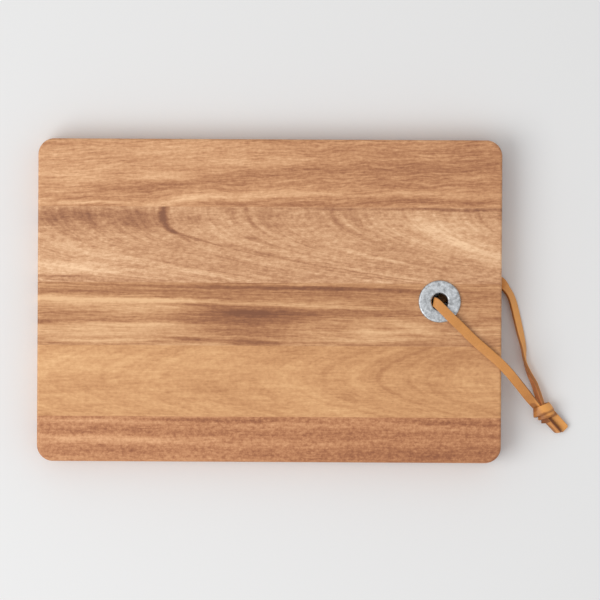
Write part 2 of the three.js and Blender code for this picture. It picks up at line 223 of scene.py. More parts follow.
WOODS = {
    "stave_1": Wood(
        seed=11, tilt=25, slope=2.6, wander=7,
        layers=(Layer(150, 6, 30, 0.6), Layer(34, 2.6, 8, 0.6), Layer(17, 1.1, 1.5, 0.95),
                Layer(5, 0.6, 0.6, 0.9), Layer(1.8, 1.3, 1.5, 0.7)),
        marks=(
            Mark(-72, 75, -16, 76, 7, 0.26), Mark(-124, 61, -76, 63, 7, 0.3),
            Mark(-66, 60.8, -44, 61.2, 3, 0.5), Mark(-116, 53.8, -94, 54, 3, 0.3),
            Mark(-80, 71.4, -62, 71.8, 4, -0.16), Mark(-40, 68, 20, 71, 5, 0.22),
            Mark(-118, 48.2, -66, 47.8, 1.6, 0.4), Mark(-56, 48.2, -30, 51.0, 2.4, 0.6),
            Mark(-30, 51.4, 30, 54.4, 2.6, 0.4), Mark(-82, 54.6, -36, 57.6, 3.6, -0.36),
            Mark(-36, 58.4, 20, 63.0, 3.6, -0.34), Mark(10, 63.2, 112, 66.2, 4.6, -0.34),
            Mark(30, 58, 130, 58, 7, -0.2), Mark(84, 70, 140, 70, 12, -0.24),
            Mark(-8, 48.2, 60, 48.0, 2.0, -0.42), Mark(20, 50.6, 122, 48.4, 2.0, -0.42),
        ),
    ),
    "stave_2": Wood(
        seed=23, tilt=65, slope=0, wander=4,
        layers=(Layer(110, 7, 26, 0.3), Layer(20, 1.6, 3, 0.55), Layer(2.6, 1.3, 1.6, 1.1, 0.7),
                Layer(6, 0.5, 0.5, 0.65)),
        marks=(
            Mark(-116, 41.8, -88, 42, 3.6, -0.5), Mark(-116, 38.4, -104, 39.6, 3, -0.35),
            Mark(-92, 43, -86, 37, 4, -0.42), Mark(-80, 42, -60, 41, 6, -0.34),
            Mark(-92, 39, -40, 38, 8, -0.3), Mark(-40, 41, 120, 42, 6, -0.2),
            Mark(-112, 28, -70, 22, 8, 0.24), Mark(-124, 17, -84, 15, 5, 0.46),
            Mark(-76, 14, -20, 12, 3, 0.24), Mark(-116, 12.4, -92, 11.8, 0.9, -0.6),
            Mark(62, 42, 100, 36, 7, 0.3), Mark(82, 32, 118, 20, 6, 0.5),
            Mark(98, 42, 116, 34, 6, 0.2), Mark(36, 45.6, 130, 45.2, 1.2, -0.6),
        ),
        rings=Rings(axis=46.5, opening=0.02, power=2.4),
        ring_layers=(Layer(13, 90, 40, 0.8, 0.66), Layer(3.4, 40, 20, 0.65, 0.6)),
        ring_marks=(
            Mark(-50.4, -5, -56.8, 12.6, 3.0, -1.1), Mark(-57, 11, -48, 21, 2.6, -0.5),
            Mark(-46, 20, -32, 27, 5, -0.42), Mark(-42, 26, -38, 36, 5, -0.36),
            Mark(-46, 30, -49, 40, 5, -0.3), Mark(-12, -4, -12, 10, 1.8, -0.12),
            Mark(-23, 5, -21, 12, 4, 0.42), Mark(-27, 14, -21, 18, 2.6, -0.3),
            Mark(-8, 12, -6, 22, 3, 0.3), Mark(0, -2, 0, 10, 6, -0.16),
            Mark(5, 20, 8, 28, 5, 0.3), Mark(28.6, -4, 33, 16, 3, -0.28),
            Mark(33.4, 3, 36, 10, 2.4, 0.2), Mark(50, 4, 55, 32, 10, 0.36),
            Mark(72, -4, 74, 18, 13, 0.3), Mark(103, -6, 103, 18, 1.3, -0.4),
        ),
    ),
    "stave_3": Wood(
        seed=37, tilt=12, slope=-0.4, wander=3,
        layers=(Layer(150, 4.5, 24, 0.6), Layer(60, 1.9, 8, 0.8), Layer(24, 0.9, 1.2, 0.85),
                Layer(6, 0.45, 0.5, 0.85), Layer(2.2, 1.4, 1.5, 0.7)),
        marks=(
            Mark(-118, 8.0, -74, 7.6, 1.0, -0.4), Mark(-50, 7.0, 66, 5.6, 1.5, -0.85),
            Mark(-118, 4.6, 10, 4.4, 2.2, -0.3), Mark(30, 3.6, 122, 2.4, 3.4, -0.34),
            Mark(-128, 0.2, -80, -0.4, 3.2, 0.85), Mark(-80, 0.0, -44, -0.6, 1.8, 0.6),
            Mark(-44, -0.6, 32, -2.8, 1.6, 0.5), Mark(-46, 1.4, 8, 0.6, 1.6, -0.4),
            Mark(-30, 8.8, 4, 8.8, 1.1, -0.55), Mark(-90, -3.2, -42, -5.2, 4.6, 0.42),
            Mark(-26, -15.4, 6, -16.4, 2.8, -0.55), Mark(-102, -20.2, -70, -20.6, 1.8, 0.5),
            Mark(24, -19.6, 60, -19.8, 1.9, 0.5), Mark(48, -9.6, 70, -11, 3.2, 0.3),
            Mark(40, -1, 62, -1.2, 2, -0.24), Mark(-110, -5.4, -60, -4.8, 2.0, -0.14),
            Mark(-36, -6.4, 12, -7.6, 7.6, -0.85), Mark(-24, -5.2, 6, -6.0, 2.4, -0.35),
            Mark(14, -5.6, 76, -5.6, 3.0, -0.42), Mark(-118, -10.6, -108, -10.8, 1.8, -0.6),
            Mark(-82, -12, -42, -12.4, 1.7, 0.6), Mark(-116, -15, -50, -15.6, 5.4, 0.72),
            Mark(-46, -19, -30, -19.6, 1.4, -0.8), Mark(-20, -20.7, 4, -21.4, 2.2, -0.8),
            Mark(-114, -20.4, -104, -21, 1.2, -0.36), Mark(42, -14.4, 60, -16.0, 4.4, 0.5),
            Mark(66, -13, 80, -14, 3.6, 0.4),
        ),
    ),
    "stave_4": Wood(
        seed=53, tilt=70, slope=0, wander=4,
        layers=(Layer(110, 7, 26, 0.2), Layer(24, 2.0, 3, 0.42), Layer(8, 0.8, 0.9, 0.5),
                Layer(2.0, 1.3, 1.5, 0.5)),
        marks=(
            Mark(-124, -29, -74, -33, 9, 0.26), Mark(-56, -31, 0, -34, 8, 0.06),
            Mark(40, -27, 130, -26, 9, -0.14), Mark(80, -40, 140, -42, 18, -0.12),
        ),
        rings=Rings(axis=-38, opening=0.2, power=1.8),
        ring_layers=(Layer(15, 60, 40, 0.5, 0.6), Layer(3.6, 30, 20, 0.3, 0.6)),
        ring_marks=(
            Mark(26, -12, 26, 12, 3, -0.13), Mark(20.6, -12, 20.6, 12, 2.6, 0.1),
            Mark(54, -12, 54, 12, 3, -0.13), Mark(88.5, -12, 88.5, 12, 3, -0.14),
            Mark(68, -12, 68, -4, 3, 0.2), Mark(14, 6, 20, 18, 6, 0.24),
            Mark(40, -10, 40, 10, 6, 0.08),
        ),
    ),
    "stave_5": Wood(
        seed=71, tilt=35, slope=0, wander=3,
        layers=(Layer(140, 5, 24, 0.5), Layer(26, 1.8, 4, 0.45), Layer(12, 0.9, 1.2, 0.75),
                Layer(1.9, 1.5, 1.6, 1.5, 0.7)),
        marks=(
            Mark(-50, -59.2, 6, -59.6, 1.6, -0.44), Mark(-116, -59.6, -60, -60, 1.6, 0.5),
            Mark(-120, -63.8, -60, -64.2, 3.0, -0.3), Mark(-114, -68.4, -56, -69.4, 2.8, 0.5),
            Mark(-98, -74.6, -58, -75.2, 3, -0.16), Mark(-80, -70, 30, -70, 4, 0.22),
            Mark(-16, -67, 112, -67.6, 3.6, -0.14), Mark(20, -61.8, 112, -62.4, 2.6, 0.14),
            Mark(84, -60, 122, -61, 2.4, -0.34), Mark(10, -76.4, 128, -76.8, 4.4, -0.4),
            Mark(60, -72.6, 126, -73.2, 4.6, -0.26),
        ),
    ),
}


def srgb(text):
    """An sRGB hex value, such as #c98a4e, as linear red, green and blue."""
    shares = [int(text[place:place + 2], 16) / 255 for place in (1, 3, 5)]
    return tuple(s / 12.92 if s <= 0.04045 else ((s + 0.055) / 1.055) ** 2.4 for s in shares)


def length_property(name, description, default):
    """The words and limits that every length in the panel shares."""
    return FloatProperty(name=name, description=description, default=default, min=0, subtype="DISTANCE",
                         unit="LENGTH", precision=5)


def colour_property(name, description, colour):
    """A colour in the panel, given as an sRGB hex value."""
    return FloatVectorProperty(name=name, description=description, subtype="COLOR", default=srgb(colour))


class CheeseBoardWood(bpy.types.PropertyGroup):
    corner_radius: length_property("Corner radius", "Radius of the board's corners seen from above", 0.008)
    edge_ease: length_property("Edge ease", "Radius of the rounded edges of both faces", 0.0012)
    stave_1: colour_property("Stave 1", "Body colour of the far stave", "#ce9568")
    stave_2: colour_property("Stave 2", "Body colour of the second stave", "#d39e73")
    stave_3: colour_property("Stave 3", "Body colour of the middle stave", "#c68e60")
    stave_4: colour_property("Stave 4", "Body colour of the fourth stave", "#d59c68")
    stave_5: colour_property("Stave 5", "Body colour of the near stave", "#c08256")


class CheeseBoardEyelet(bpy.types.PropertyGroup):
    rim_round: length_property("Rim round", "Radius of the flange's outer rim", 0.0009)
    mouth_round: length_property("Mouth round", "Radius where the flange turns into the hole", 0.001)
    steel: colour_property("Steel", "Colour of the zinc coat", "#b6b9bc")


class CheeseBoardLace(bpy.types.PropertyGroup):
    width: length_property("Width", "Width of the flat lace", 0.0046)
    thickness: length_property("Thickness", "Thickness of the flat lace", 0.0015)
    edge_round: length_property("Edge round", "Radius of the lace's worn edges", 0.00025)
    dome: length_property("Dome", "How far the middle of the grain side stands up", 0.00008)
    grain: colour_property("Grain side", "Colour of the smooth face", "#d28e48")
    edge: colour_property("Cut edge", "Colour of the cut edges", "#935d33")
    flesh: colour_property("Flesh side", "Colour of the rough face", "#b2764a")


class CheeseBoardStage(bpy.types.PropertyGroup):
    floor: colour_property("Floor", "Colour of the floor", "#eeeeee")
    view_width: length_property("View width", "Width that the camera sees at the board's face", 0.2973)
    camera_height: length_property("Camera height", "Height of the camera above the floor", 3)
    key_power: FloatProperty(name="Key power", description="Power of the large soft lamp", default=13, min=0,
                             subtype="POWER", unit="POWER")
    sky_strength: FloatProperty(name="Sky strength", description="Strength of the even light all round",
                                default=0.62, min=0)


def deselect():
    """Nothing is selected or in edit mode afterwards."""
    if bpy.context.object and bpy.context.object.mode != "OBJECT":
        bpy.ops.object.mode_set(mode="OBJECT")
    bpy.ops.object.select_all(action="DESELECT")


def pick(part):
    """Only this object is selected and active."""
    deselect()
    part.select_set(True)
    bpy.context.view_layer.objects.active = part


def pick_edges(test):
    """In edit mode, selects only the active mesh's edges whose two ends pass the test."""
    bpy.ops.mesh.select_mode(type="EDGE")
    bpy.ops.mesh.select_all(action="DESELECT")
    mesh = bmesh.from_edit_mesh(bpy.context.object.data)
    for edge in mesh.edges:
        edge.select_set(test(*(vertex.co for vertex in edge.verts)))
    bmesh.update_edit_mesh(bpy.context.object.data)


def apply_modifier(part, kind, **settings):
    """Adds a modifier, sets it and applies it."""
    pick(part)
    modifier = part.modifiers.new(kind.title(), kind)
    for name, value in settings.items():
        setattr(modifier, name, value)
    bpy.ops.object.modifier_apply(modifier=modifier.name)


def put_in_place(part, place):
    """Writes a place in the frame into the mesh, so that the object itself sits at the origin."""
    pick(part)
    part.matrix_world = place
    bpy.ops.object.transform_apply(location=True, rotation=True, scale=True)


def smooth(part):
    """Smooth shading for a hard piece, whose sharp edges stay and whose large faces stay flat to the eye."""
    pick(part)
    bpy.ops.object.shade_smooth_by_angle(angle=math.radians(HARD_EDGE))
    apply_modifier(part, "WEIGHTED_NORMAL", keep_sharp=True)


def hand_over(piece, node):
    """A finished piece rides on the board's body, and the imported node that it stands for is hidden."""
    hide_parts(node)
    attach(piece, BODY)


def set_inputs(tree, node, inputs):
    """Sets or links a node's inputs, which are given by name or number."""
    for key, value in inputs.items():
        if isinstance(value, bpy.types.NodeSocket):
            tree.links.new(value, node.inputs[key])
        else:
            node.inputs[key].default_value = value


def add_node(tree, kind, inputs=None, stops=(), **settings):
    """Adds a node, sets its properties and its inputs, and gives a colour ramp its stops: places from 0 to 1
    and linear colours."""
    node = tree.nodes.new(kind)
    for name, value in settings.items():
        setattr(node, name, value)
    set_inputs(tree, node, inputs or {})
    for number, (place, colour) in enumerate(stops):
        elements = node.color_ramp.elements
        element = elements[number] if number < len(elements) else elements.new(1)
        element.position = place
        element.color = (*colour, 1)
    return node


def new_material(name):
    """A material with nothing but a surface shader and its output; returns it with its tree and shader."""
    material = bpy.data.materials.new(name)
    material.use_nodes = True
    tree = material.node_tree
    tree.nodes.clear()
    shader = add_node(tree, "ShaderNodeBsdfPrincipled")
    add_node(tree, "ShaderNodeOutputMaterial", {"Surface": shader.outputs["BSDF"]})
    return material, tree, shader


def surface_point(tree, foot=(0, 0, 0), turned=(0, 0, 0)):
    """The point that is shaded, in millimetres from a foot and along turned axes."""
    where = add_node(tree, "ShaderNodeTexCoord").outputs["Object"]
    return add_node(tree, "ShaderNodeMapping", {
        "Vector": where, "Location": foot, "Rotation": turned, "Scale": (MM, MM, MM)},
        vector_type="TEXTURE").outputs["Vector"]


def soft_mark(tree, place, mark):
    """A soft oval: 1 in the middle of a mark, and a half at its two ends and its two sides."""
    run = Vector((mark.x2 - mark.x1, mark.y2 - mark.y1))
    oval = add_node(tree, "ShaderNodeMapping", {
        "Vector": place,
        "Location": ((mark.x1 + mark.x2) / 2, (mark.y1 + mark.y2) / 2, 0),
        "Rotation": (0, 0, math.atan2(run.y, run.x)),
        "Scale": (run.length, mark.width, MARK_DEPTH)}, vector_type="TEXTURE")
    return add_node(tree, "ShaderNodeTexGradient", {"Vector": oval.outputs["Vector"]},
                    gradient_type="SPHERICAL").outputs["Fac"]


def lumps(tree, place, layer, seed, tilt=0, slope=0):
    """Clouds from 0 to 1, a half on average, as long, wide and deep as the layer says, and slanted so far.
    The seed moves them to a place of their own."""
    turned = add_node(tree, "ShaderNodeMapping", {
        "Vector": place, "Location": (seed * 7.3, seed * 3.1, seed * 1.7),
        "Rotation": (math.radians(tilt), 0, math.radians(slope)),
        "Scale": (layer.length, layer.width, layer.depth)}, vector_type="TEXTURE")
    return add_node(tree, "ShaderNodeTexNoise", {
        "Vector": turned.outputs["Vector"], "Scale": 1, "Detail": 3, "Roughness": layer.rough}).outputs["Fac"]


# A stave's tones, from its darkest streaks to its palest, and their linear shares of its body colour
TONES = (
    (-0.30, (0.39, 0.28, 0.25)),
    (0.00, (0.57, 0.45, 0.39)),
    (0.18, (0.71, 0.61, 0.55)),
    (0.34, (0.84, 0.78, 0.73)),
    (0.50, (1.00, 1.00, 1.00)),
    (0.66, (1.14, 1.23, 1.29)),
    (0.84, (1.30, 1.50, 1.68)),
    (1.10, (1.52, 1.90, 2.25)),
)
# The colour ramp holds tones from this one on, over this span
TONE_LOW, TONE_SPAN = -0.4, 1.7
# The grain's slow and quick waves, with their shares of a stave's wander
WAVES = ((Layer(60, 24, 24, 1), 1), (Layer(16, 5, 5, 1), 0.22))
# Open pores, drawn twice their real width so that they show
PORES = Layer(3.4, 0.42, 0.42, 1, 0.5)
# The seeds of the rings' first lumps and of the pores, counted from the stave's own
RINGS_SEED, PORES_SEED = 21, 31


def oiled_acacia(name, wood, body):
    """Acacia, planed, sanded and oiled: warm tan with brown and cream streaks that run right through the
    stave, short open pores, a darker end grain, and a satin sheen with the grain just felt in it."""
    material, tree, shader = new_material(name)
    board = surface_point(tree, BOARD_FOOT, (0, -LEAN, 0))

    # The grain wanders off the straight
    grain = board
    for wave, share in WAVES:
        sway = add_node(tree, "ShaderNodeVectorMath", {
            0: lumps(tree, board, wave, wood.seed), 1: (0.5, 0.5, 0.5)}, operation="SUBTRACT")
        grain = add_node(tree, "ShaderNodeVectorMath", {
            0: sway.outputs[0], 1: (0, wood.wander * share, 0), 2: grain},
            operation="MULTIPLY_ADD").outputs[0]

    # Growth bands, streaks about a millimetre wide and fine flecks, then the marks that follow the grain
    clouds = [(lumps(tree, grain, layer, wood.seed + number, wood.tilt, wood.slope), layer.strength)
              for number, layer in enumerate(wood.layers, start=1)]
    strokes = [(soft_mark(tree, grain, mark), mark.tone) for mark in wood.marks]

    # The finest lumps are flecks, which show on the two faces and fade on the long edges
    normal = add_node(tree, "ShaderNodeTexCoord").outputs["Normal"]
    facing = add_node(tree, "ShaderNodeSeparateXYZ", {"Vector": normal}).outputs
    endwise, edgewise = (
        add_node(tree, "ShaderNodeMath", {0: facing[axis], 1: facing[axis]}, operation="MULTIPLY").outputs[0]
        for axis in ("X", "Y"))
    flecks, strength = clouds[-1]
    clouds[-1] = (add_node(tree, "ShaderNodeMix", {0: edgewise, 2: flecks, 3: 0.5}).outputs[0], strength)

    # Growth rings cut through by the face make nested arcs
    if wood.rings:
        parts = add_node(tree, "ShaderNodeSeparateXYZ", {"Vector": grain}).outputs
        apart = add_node(tree, "ShaderNodeMath", {0: wood.rings.axis, 1: parts["Y"]},
                         operation="SUBTRACT").outputs[0]
        far = add_node(tree, "ShaderNodeMath", {0: apart}, operation="ABSOLUTE").outputs[0]
        back = add_node(tree, "ShaderNodeMath", {0: far, 1: wood.rings.power}, operation="POWER").outputs[0]
        tip = add_node(tree, "ShaderNodeMath", {0: back, 1: -wood.rings.opening, 2: parts["X"]},
                       operation="MULTIPLY_ADD").outputs[0]
        arcs = add_node(tree, "ShaderNodeCombineXYZ", {"X": tip, "Y": apart, "Z": parts["Z"]}).outputs[0]
        clouds += [(lumps(tree, arcs, layer, wood.seed + number), layer.strength)
                   for number, layer in enumerate(wood.ring_layers, start=RINGS_SEED)]
        strokes += [(soft_mark(tree, arcs, mark), mark.tone) for mark in wood.ring_marks]

    # Pores are short dark dashes
    dashes = lumps(tree, grain, PORES, wood.seed + PORES_SEED)
    pores = add_node(tree, "ShaderNodeMapRange", {"Value": dashes, "From Min": 0.62, "From Max": 0.72},
                     interpolation_type="SMOOTHSTEP").outputs["Result"]
    strokes.append((pores, -0.16))

    # End grain drinks more oil and goes darker
    end = add_node(tree, "ShaderNodeMapRange", {"Value": endwise, "From Min": 0.6, "From Max": 0.95},
                   interpolation_type="SMOOTHSTEP").outputs["Result"]
    strokes.append((end, -0.2))

    # With every cloud at its average the tone is a half, which is the body colour
    tone = (0.5 - sum(strength for cloud, strength in clouds) / 2 - TONE_LOW) / TONE_SPAN
    for share, strength in clouds + strokes:
        tone = add_node(tree, "ShaderNodeMath", {0: share, 1: strength / TONE_SPAN, 2: tone},
                        operation="MULTIPLY_ADD").outputs[0]
    ramp = add_node(tree, "ShaderNodeValToRGB", {"Fac": tone}, stops=[
        ((place - TONE_LOW) / TONE_SPAN, [a * b for a, b in zip(share, body)]) for place, share in TONES])
    gloss = add_node(tree, "ShaderNodeMapRange", {"Value": tone, "To Min": 0.6, "To Max": 0.46})

    # The streaks stand up a little, and the pores are pits
    streaks = clouds[2][0]
    relief = add_node(tree, "ShaderNodeMath", {0: pores, 1: -0.6, 2: streaks}, operation="MULTIPLY_ADD")
    bump = add_node(tree, "ShaderNodeBump", {
        "Height": relief.outputs[0], "Strength": 0.3, "Distance": 0.04 * MM})
    set_inputs(tree, shader, {
        "Base Color": ramp.outputs["Color"], "Roughness": gloss.outputs["Result"], "IOR": 1.5,
        "Normal": bump.outputs["Normal"]})
    return material


def galvanised_steel(name, coat):
    """Steel dipped in zinc: grey with a blue cast, mottled in crystals of one or two millimetres, and a
    satin surface with a few brighter facets."""
    material, tree, shader = new_material(name)
    place = surface_point(tree)
    crystals = add_node(tree, "ShaderNodeTexVoronoi", {"Vector": place, "Scale": 0.8}, feature="F1")
    facet = add_node(tree, "ShaderNodeSeparateColor", {"Color": crystals.outputs["Color"]}).outputs["Red"]
    mottle = lumps(tree, place, Layer(1.6, 1.6, 1.6, 1, 0.7), seed=3)
    shift = add_node(tree, "ShaderNodeMath", {0: facet, 1: 0.3, 2: -0.35}, operation="MULTIPLY_ADD")
    tone = add_node(tree, "ShaderNodeMath", {0: mottle, 1: 1.4, 2: shift.outputs[0]},
                    operation="MULTIPLY_ADD").outputs[0]
    ramp = add_node(tree, "ShaderNodeValToRGB", {"Fac": tone}, stops=[
        (0.15, [c * 0.58 for c in coat]), (0.5, coat), (0.85, [min(1, c * 1.42) for c in coat])])
    gloss = add_node(tree, "ShaderNodeMapRange", {"Value": tone, "To Min": 0.56, "To Max": 0.38})
    bump = add_node(tree, "ShaderNodeBump", {"Height": tone, "Strength": 0.35, "Distance": 0.05 * MM})
    set_inputs(tree, shader, {
        "Base Color": ramp.outputs["Color"], "Metallic": 1, "Roughness": gloss.outputs["Result"],
        "Normal": bump.outputs["Normal"]})
    return material


# The leather's painted shade and painted light: dark marks where shade falls in the knot's creases and folds,
# in the gaps between strands and tails and on their cut edges, and pale marks where strands and tails lie in
# shade or face the light, in millimetres in the frame
LEATHER_PAINTED_SHADE_AND_LIGHT = (
    Mark(126, -43, 133, -51, 7, -0.2), Mark(118, 4, 126, -24, 8, 0.6),
    Mark(130, -54, 134, -58, 4, -0.3), Mark(129, -32, 136, -51, 3.4, 0.6),
    Mark(131.5, -40, 136.4, -53, 3.2, 0.6), Mark(138, -52, 141, -55, 4, 0.3),
    Mark(137.9, -51.6, 139.6, -53.2, 2.4, 0.7), Mark(141, -56, 150, -65, 4.6, 0.45),
    Mark(145.3, -62.2, 146.6, -63.4, 2.0, 0.5), Mark(140.9, -53.5, 134.1, -56.8, 1.1, -1.0),
    Mark(142.6, -55.8, 138.7, -57.4, 1.1, -1.0), Mark(141.9, -54.5, 142.9, -55.7, 1.2, -0.6),
    Mark(136.3, -57.2, 136.9, -60.2, 3.0, -0.9), Mark(129.9, -51.9, 132.4, -53.0, 2.6, -1.2),
    Mark(138.8, -57.3, 146.4, -65.4, 1.4, -0.9), Mark(138.7, -61.5, 141.9, -64.8, 1.3, -1.2),
)


def leather(name, colour, lump, contrast, rough, relief, pale):
    """Vegetable-tanned leather: a warm tan, with painted shade in its creases, folds and the gaps between its
    strands, and painted light where it lies in shade or faces the light. The lump size, contrast, roughness,
    relief and palest share of its colour make it the smooth grain side, the cut edge or the rough flesh side."""
    material, tree, shader = new_material(name)
    place = surface_point(tree)
    fine = lumps(tree, place, Layer(lump, lump, lump, 1), seed=5)
    broad = lumps(tree, place, Layer(6, 6, 6, 1, 0.5), seed=6)
    base = add_node(tree, "ShaderNodeMath", {0: broad, 1: contrast / 2, 2: 0.5 - contrast * 0.75},
                    operation="MULTIPLY_ADD")
    tone = add_node(tree, "ShaderNodeMath", {0: fine, 1: contrast, 2: base.outputs[0]},
                    operation="MULTIPLY_ADD").outputs[0]
    # Each mark paints shade or light into the leather's colour
    for mark in LEATHER_PAINTED_SHADE_AND_LIGHT:
        tone = add_node(tree, "ShaderNodeMath", {0: soft_mark(tree, place, mark), 1: mark.tone, 2: tone},
                        operation="MULTIPLY_ADD").outputs[0]
    ramp = add_node(tree, "ShaderNodeValToRGB", {"Fac": tone}, stops=[
        (0.1, [c * s for c, s in zip(colour, (0.6, 0.5, 0.42))]), (0.5, colour),
        (0.9, [c * s * pale for c, s in zip(colour, (1, 1.05, 1.05))])])
    bump = add_node(tree, "ShaderNodeBump", {"Height": fine, "Strength": relief, "Distance": 0.08 * MM})
    set_inputs(tree, shader, {
        "Base Color": ramp.outputs["Color"], "Roughness": rough, "IOR": 1.5,
        "Normal": bump.outputs["Normal"]})
    return material


def lace_materials(lace):
    """The lace's three surfaces, in the order of their material slots."""
    return (
        leather("tan_leather_grain_side", lace.grain,
                lump=0.5, contrast=0.5, rough=0.5, relief=0.3, pale=1.3),
        leather("tan_leather_cut_edge", lace.edge,
                lump=0.35, contrast=0.7, rough=0.75, relief=0.5, pale=1.45),
        leather("tan_leather_flesh_side", lace.flesh,
                lump=0.6, contrast=1.0, rough=0.85, relief=0.7, pale=1.9),
    )


def curve_value(before, start, end, after, gaps, share):
    """One number on the centripetal Catmull-Rom curve between two stations."""
    first, middle, last = gaps
    leave = (start - before) / first - (end - before) / (first + middle) + (end - start) / middle
    reach = (end - start) / middle - (after - start) / (middle + last) + (after - end) / last
    square, cube = share ** 2, share ** 3
    return ((2 * cube - 3 * square + 1) * start + (cube - 2 * square + share) * leave * middle
            + (3 * square - 2 * cube) * end + (cube - square) * reach * middle)


def smooth_rows(rows):
    """Stations joined by one smooth curve."""
    before = [2 * a - b for a, b in zip(rows[0], rows[1])]
    after = [2 * a - b for a, b in zip(rows[-1], rows[-2])]
    padded = [before, *rows, after]
    result = []
    for four in zip(padded, padded[1:], padded[2:], padded[3:]):
        gaps = [math.dist(a[:3], b[:3]) ** 0.5 for a, b in zip(four, four[1:])]
        for step in range(LACE_STEPS):
            result.append([curve_value(*values, gaps, step / LACE_STEPS) for values in zip(*four)])
    result.append(list(rows[-1]))
    return result


def lace_route(stations, before=0, after=0):
    """The lace's centres and the directions of its width, in the frame, with its ends run straight on."""
    centres = []
    widths = []
    for x, y, z, turn, lift in smooth_rows(stations):
        turn, lift = math.radians(turn), math.radians(lift)
        level = math.cos(lift)
        centres.append(Vector((EYELET_X + x * MM, y * MM, z * MM)))
        widths.append(Vector((level * math.cos(turn), level * math.sin(turn), math.sin(lift))))
    if before:
        centres.insert(0, centres[0] + (centres[0] - centres[1]).normalized() * before)
        widths.insert(0, widths[0])
    if after:
        centres.append(centres[-1] + (centres[-1] - centres[-2]).normalized() * after)
        widths.append(widths[-1])
    return centres, widths


def lace_section(lace):
    """The lace's outline in section: across, up and the material slot of the face that follows each point.
    The grain side, slightly domed, turns over both shoulders; the cut edges and the flesh side follow."""
    edge = lace.edge_round
    across, up = lace.width / 2 - edge, lace.thickness / 2 - edge
    section = []
    for right, top, start, slots in ((1, 1, 90, (0, 1)), (1, -1, 0, (1, 2)),
                                     (-1, -1, -90, (1, 1)), (-1, 1, 180, (0, 0))):
        for step in range(CORNER_STEPS + 1):
            angle = math.radians(start - 90 * step / CORNER_STEPS)
            section.append((right * across + edge * math.cos(angle), top * up + edge * math.sin(angle),
                            slots[step == CORNER_STEPS]))
    for step in range(1, DOME_STEPS):
        share = 2 * step / DOME_STEPS - 1
        section.append((share * across, up + edge + lace.dome * (1 - share ** 2), 0))
    return section


def sweep(name, centres, widths, section, materials, skew=0):
    """A strip of lace along a route: its outline is set square to the route at each step, and its cut
    edges wander a little, as a knife leaves them. Its far end is cut on the skew and worn round."""
    mesh = bmesh.new()
    rings = []
    uv_rows = []
    travelled = 0
    whole = sum((b - a).length for a, b in zip(centres, centres[1:]))
    for step, (centre, width) in enumerate(zip(centres, widths)):
        ahead = centres[min(step + 1, len(centres) - 1)]
        behind = centres[max(step - 1, 0)]
        along = (ahead - behind).normalized()
        side = (width - along * width.dot(along)).normalized()
        up = along.cross(side)
        travelled += (centre - behind).length
        left = whole - travelled
        reach = math.tan(math.radians(skew)) * max(0, 1 - left / CUT_REACH)
        worn = END_WEAR * max(0, 1 - left / (2 * END_WEAR)) ** 2
        ring = []
        for across, above, slot in section:
            # Each edge wanders on a line of its own in the noise, and so does each strip
            spot = Vector((travelled / WANDER_LENGTH, math.copysign(9, across), len(centres)))
            across += EDGE_WANDER * noise.noise(spot) - math.copysign(min(worn, abs(across)), across)
            above -= math.copysign(min(worn, abs(above)), above) / 2
            ring.append(mesh.verts.new(centre + side * across + up * above + along * across * reach))
        rings.append(ring)
        uv_rows.append(travelled)
    layer = mesh.loops.layers.uv.new("lace")
    count = len(section)
    for row, (ring, after) in enumerate(zip(rings, rings[1:])):
        for corner in range(count):
            following = (corner + 1) % count
            face = mesh.faces.new((ring[corner], ring[following], after[following], after[corner]))
            face.material_index = section[corner][2]
            places = ((corner, row), (corner + 1, row), (corner + 1, row + 1), (corner, row + 1))
            for loop, (u, v) in zip(face.loops, places):
                loop[layer].uv = (u / count, uv_rows[v])
    for ring in (rings[0], rings[-1]):
        mesh.faces.new(ring).material_index = 1
    bmesh.ops.recalc_face_normals(mesh, faces=mesh.faces)
    data = bpy.data.meshes.new(name)
    mesh.to_mesh(data)
    mesh.free()
    strip = bpy.data.objects.new(name, data)
    bpy.context.scene.collection.objects.link(strip)
    for material in materials:
        data.materials.append(material)
    pick(strip)
    bpy.ops.object.shade_smooth_by_angle(angle=math.radians(LACE_EDGE))
    return strip


def knot_middle():
    """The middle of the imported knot, in the frame."""
    low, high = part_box("lace_knot")
    return (low + high) / 2


def turn_route(turn, lace):
    """One turn of the knot: an oval helix round an axis that lies on the slant, with the lace fanned out."""
    heading = Matrix.Rotation(math.radians(KNOT_HEADING), 3, "Z")
    slanted = Matrix.Rotation(math.radians(KNOT_HEADING + turn.slant), 3, "Z")
    middle = knot_middle() + heading @ Vector((turn.forward, turn.side, 0)) * MM
    middle.z = turn.lift * MM
    outwards = slanted @ Vector((-1 if turn.rough else 1, 0, 0))
    wide, high = ((size * MM - lace.thickness) / 2 for size in (turn.across, turn.height))
    centres = []
    widths = []
    for step in range(TURN_STEPS + 1):
        share = step / TURN_STEPS
        angle = math.radians(turn.start + turn.sweep * share)
        along = turn.creep * MM * (share - 0.5)
        centres.append(middle + slanted @ Vector((along, wide * math.cos(angle), high * math.sin(angle))))
        fan = Matrix.Rotation(math.radians(turn.swing) * math.cos(angle), 3, "Z")
        widths.append(fan @ outwards)
    return centres, widths


